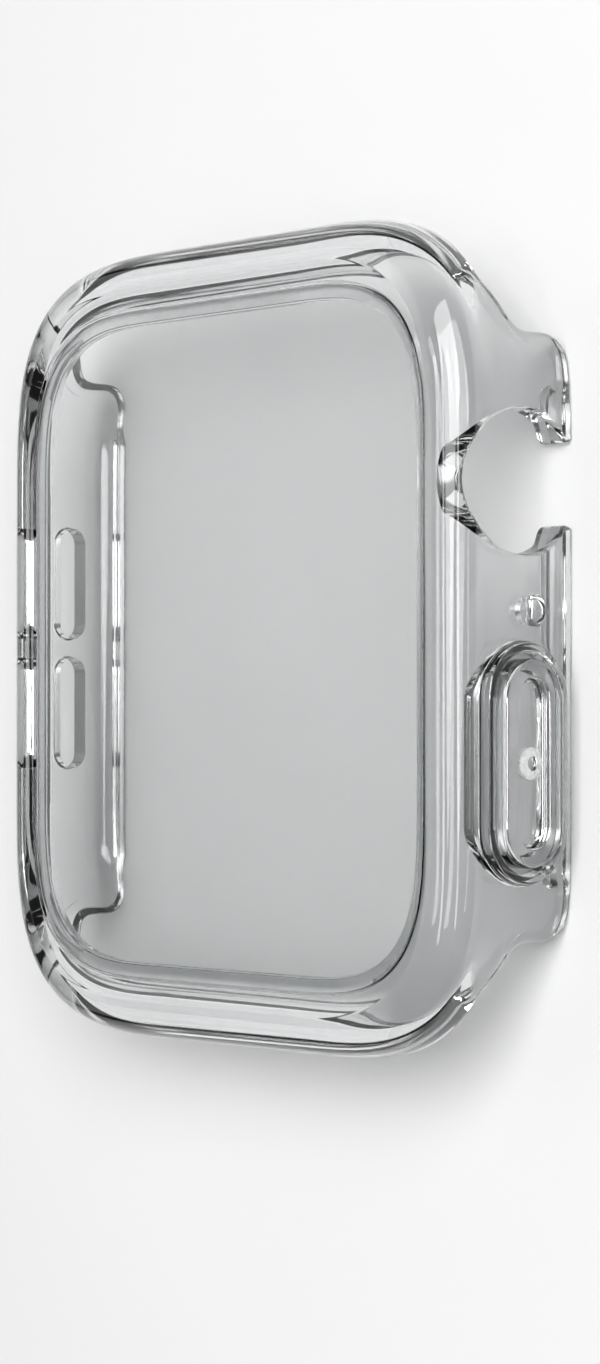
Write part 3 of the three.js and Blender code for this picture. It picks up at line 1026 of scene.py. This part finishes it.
def hairlines(nodes, links, rough, turns):
    """Adds the faint hairlines of handling to a roughness, turned each of these ways."""
    for turn in turns:
        place = nodes.new("ShaderNodeTexCoord").outputs["Object"]
        stretch = nodes.new("ShaderNodeMapping")
        stretch.inputs["Rotation"].default_value = (*HAIRLINE_TILT, turn)
        stretch.inputs["Scale"].default_value = (1, HAIRLINE_STRETCH, 1)
        links.new(place, stretch.inputs["Vector"])
        place = stretch.outputs["Vector"]
        texture = noise_texture(nodes, links, place, scale=240, detail=3)
        lines = spread(
            nodes, links, texture, HAIRLINE_LOW, HAIRLINE_HIGH, 0, HAIRLINE_ROUGHNESS
        )
        rough = join(nodes, links, "ADD", rough, lines)
    return rough


def clear_plastic(name, rough_low, rough_high):
    """Polished polycarbonate: faint cloudiness, a barely rippled moulded skin, hairlines."""
    constants = {"Transmission Weight": 1.0, "IOR": POLYCARBONATE_IOR}
    material, nodes, links, shader = new_material(name, constants)
    cloud = noise(nodes, links, scale=260, detail=3)
    tint(nodes, links, shader, cloud, dark=(0.80, 0.81, 0.815), pale=(0.85, 0.86, 0.865))
    rough = noise(nodes, links, scale=900, detail=6, low=rough_low, high=rough_high)
    rough = hairlines(nodes, links, rough, PLASTIC_HAIRLINE_TURNS)
    links.new(rough, shader.inputs["Roughness"])
    ripple = noise(nodes, links, scale=120, detail=1)
    bump(nodes, links, shader, ripple, distance=0.00002, strength=0.12)
    return material


def tempered_glass():
    """The screen cover's glass: nearly colourless, with a few hairlines."""
    constants = {"Transmission Weight": 1.0, "IOR": GLASS_IOR}
    material, nodes, links, shader = new_material("tempered_glass", constants)
    cloud = noise(nodes, links, scale=90, detail=2)
    tint(nodes, links, shader, cloud, dark=(0.965, 0.97, 0.97), pale=(0.975, 0.98, 0.98))
    rough = noise(nodes, links, scale=500, detail=8, low=0.0, high=0.02)
    rough = hairlines(nodes, links, rough, GLASS_HAIRLINE_TURNS)
    links.new(rough, shader.inputs["Roughness"])
    return material


def adhesive():
    """The bond's clear film, a little matt."""
    constants = {"Transmission Weight": 1.0, "IOR": ADHESIVE_IOR}
    material, nodes, links, shader = new_material("adhesive", constants)
    cloud = noise(nodes, links, scale=1500, detail=4)
    tint(nodes, links, shader, cloud, dark=(0.84, 0.85, 0.85), pale=(0.88, 0.89, 0.89))
    rough = noise(nodes, links, scale=3000, detail=5, low=0.1, high=0.2)
    links.new(rough, shader.inputs["Roughness"])
    return material


def frosted_plastic():
    """The boss's satin moulded skin, which scatters light and looks white."""
    constants = {"Transmission Weight": 0.45, "IOR": POLYCARBONATE_IOR}
    material, nodes, links, shader = new_material("frosted_boss", constants)
    cloud = noise(nodes, links, scale=900, detail=3)
    tint(nodes, links, shader, cloud, dark=(0.87, 0.88, 0.88), pale=(0.92, 0.93, 0.93))
    rough = noise(nodes, links, scale=3000, detail=4, low=0.2, high=0.34)
    links.new(rough, shader.inputs["Roughness"])
    return material


def soft_elastomer():
    """The web's translucent skin, satin and finely grained."""
    constants = {"Transmission Weight": 0.75, "IOR": ELASTOMER_IOR}
    material, nodes, links, shader = new_material("soft_elastomer", constants)
    cloud = noise(nodes, links, scale=500, detail=4)
    tint(nodes, links, shader, cloud, dark=(0.84, 0.85, 0.85), pale=(0.92, 0.925, 0.925))
    rough = noise(nodes, links, scale=2500, detail=4, low=0.32, high=0.5)
    links.new(rough, shader.inputs["Roughness"])
    grain = noise(nodes, links, scale=4000, detail=3)
    bump(nodes, links, shader, grain, distance=0.00001, strength=0.4)
    return material


# Stage, in metres

FLOOR_HALF = 1.6
FLOOR_GAP = 0.00002
FADE_FROM = 0.05
FADE_TO = 0.26

# The sky, and the soft panel in it that the cover glass mirrors
SKY_AT_HORIZON = 0.07
SKY_OVERHEAD = 0.165
PANEL_DIRECTION = (-0.66, 0.25, 0.71)
PANEL_EDGE = math.radians(22)
PANEL_CORE = math.radians(5)
PANEL_GLOW = 1.0

# Lamps as (name, place, width, height, power). All of them face the origin.
LAMPS = (
    ("key_softbox", (0.345, 0.22, 0.5), 0.42, 0.46, 3.55),
    ("top_strip", (0.116, 0, 0.435), 0.36, 0.045, 0.33),
    ("side_strip", (0.36, 0, 0.27), 0.36, 0.035, 0.23),
    ("back_softbox", (-0.42, 0.4, 0.22), 0.5, 0.3, 0.32),
    ("low_softbox", (-0.42, -0.4, 0.22), 0.5, 0.3, 0.32),
)


def floor():
    """A pale matt floor just under the case."""
    mesh = bpy.data.meshes.new("floor")
    sides = [(-1, -1), (1, -1), (1, 1), (-1, 1)]
    corners = [(x * FLOOR_HALF, y * FLOOR_HALF, -FLOOR_GAP) for x, y in sides]
    mesh.from_pydata(corners, [], [(0, 1, 2, 3)])
    plane = bpy.data.objects.new("floor", mesh)
    bpy.context.scene.collection.objects.link(plane)
    constants = {"Roughness": 0.9, "Specular IOR Level": 0.1}
    material, nodes, links, shader = new_material("pale_floor", constants)
    cloud = noise(nodes, links, scale=6, detail=2)
    tint(nodes, links, shader, cloud, dark=(0.91, 0.91, 0.91), pale=(0.925, 0.925, 0.925))
    white_far_away(nodes, links, shader)
    mesh.materials.append(material)


def white_far_away(nodes, links, shader):
    """Fades the floor to the white of the background well away from the case, for the rays
    that show it."""
    where = nodes.new("ShaderNodeTexCoord")
    away = nodes.new("ShaderNodeVectorMath")
    away.operation = "LENGTH"
    links.new(where.outputs["Object"], away.inputs[0])
    distance = away.outputs["Value"]
    far = spread(nodes, links, distance, FADE_FROM, FADE_TO, 0, 1, ease="SMOOTHSTEP")
    rays = nodes.new("ShaderNodeLightPath").outputs
    shows = join(nodes, links, "MAXIMUM", rays["Is Camera Ray"], rays["Is Transmission Ray"])
    white = nodes.new("ShaderNodeEmission")
    mix = nodes.new("ShaderNodeMixShader")
    links.new(join(nodes, links, "MULTIPLY", far, shows), mix.inputs["Fac"])
    links.new(shader.outputs["BSDF"], mix.inputs[1])
    links.new(white.outputs["Emission"], mix.inputs[2])
    links.new(mix.outputs["Shader"], nodes["Material Output"].inputs["Surface"])


def panel(nodes, links, where, sky):
    """Adds a soft-edged glow to the sky, on the side that the cover glass reflects."""
    towards = nodes.new("ShaderNodeVectorMath")
    towards.operation = "DOT_PRODUCT"
    links.new(where, towards.inputs[0])
    towards.inputs[1].default_value = PANEL_DIRECTION
    near = towards.outputs["Value"]
    edge, core = math.cos(PANEL_EDGE), math.cos(PANEL_CORE)
    glow = spread(nodes, links, near, edge, core, 0, PANEL_GLOW, ease="SMOOTHSTEP")
    total = nodes.new("ShaderNodeVectorMath")
    total.operation = "ADD"
    links.new(sky, total.inputs[0])
    links.new(glow, total.inputs[1])
    return total.outputs["Vector"]


def world():
    """White to the camera. To the case it is a studio, dim round the horizon and less so
    overhead."""
    made = bpy.data.worlds.new("studio")
    bpy.context.scene.world = made
    made.use_nodes = True
    nodes, links = made.node_tree.nodes, made.node_tree.links
    where = nodes.new("ShaderNodeTexCoord").outputs["Generated"]
    split = nodes.new("ShaderNodeSeparateXYZ")
    links.new(where, split.inputs["Vector"])
    ramp = nodes.new("ShaderNodeValToRGB")
    for stop, grey in zip(ramp.color_ramp.elements, (SKY_AT_HORIZON, SKY_OVERHEAD)):
        stop.color = (grey, grey, grey, 1)
    links.new(split.outputs["Z"], ramp.inputs["Fac"])
    path = nodes.new("ShaderNodeLightPath")
    mix = nodes.new("ShaderNodeMix")
    mix.data_type = "RGBA"
    mix.inputs["B"].default_value = (1, 1, 1, 1)
    links.new(path.outputs["Is Camera Ray"], mix.inputs["Factor"])
    links.new(panel(nodes, links, where, ramp.outputs["Color"]), mix.inputs["A"])
    links.new(mix.outputs["Result"], nodes["Background"].inputs["Color"])


def lights():
    """The lamps, as soft rectangles that the camera itself doesn't see."""
    for name, place, width, height, power in LAMPS:
        data = bpy.data.lights.new(name, "AREA")
        data.shape = "RECTANGLE"
        data.size = width
        data.size_y = height
        data.energy = power
        lamp = bpy.data.objects.new(name, data)
        lamp.location = place
        lamp.rotation_euler = (-Vector(place)).to_track_quat("-Z", "Y").to_euler()
        lamp.visible_camera = False
        bpy.context.scene.collection.objects.link(lamp)


# The camera of the photograph, found by fitting the case's outline. Its place is in
# millimetres of the case's own frame.
CAMERA_PLACE = (148.04, -4.98, 135.59)
CAMERA_YAW = math.radians(47.947)
CAMERA_PITCH = math.radians(0.766)
CAMERA_NEAR = 0.01
CAMERA_FAR = 20
FOCAL_PIXELS = 3338.853
PHOTO_HEIGHT = 1364


def camera():
    """The photograph's camera."""
    data = bpy.data.cameras.new("camera")
    data.lens = FOCAL_PIXELS / PHOTO_HEIGHT * data.sensor_width
    data.clip_start = CAMERA_NEAR
    data.clip_end = CAMERA_FAR
    made = bpy.data.objects.new("camera", data)
    across, ahead = math.sin(CAMERA_YAW), math.cos(CAMERA_YAW)
    level_share, rise = math.cos(CAMERA_PITCH), math.sin(CAMERA_PITCH)
    right = Vector((ahead, 0, -across))
    forward = Vector((-across * level_share, rise, -ahead * level_share))
    up = right.cross(forward)
    basis = Matrix((right, up, -forward)).transposed().to_4x4()
    made.matrix_world = Matrix.Translation(to_model([CAMERA_PLACE])[0]) @ basis
    bpy.context.scene.collection.objects.link(made)
    bpy.context.scene.camera = made


camera()
lights()
world()
floor()

shell = frame_shell()
finish_piece(shell, clear_plastic("clear_polycarbonate", rough_low=0.015, rough_high=0.05))
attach(shell, "case")
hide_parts("frame")

glass = cover_glass()
finish_piece(glass, tempered_glass())
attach(glass, "case")
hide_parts("screen_glass")

bond = bond_ring()
finish_piece(bond, adhesive())
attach(bond, "case")
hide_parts("glass_bond")

press = button()
finish_piece(press, clear_plastic("clear_button", rough_low=0.02, rough_high=0.06))
frost_boss(press, frosted_plastic())
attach(press, "button")
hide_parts("button_cap")

diaphragm = web()
finish_piece(diaphragm, soft_elastomer())
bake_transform(diaphragm)
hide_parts("button_web")

bpy.context.scene.view_settings.view_transform = "Standard"
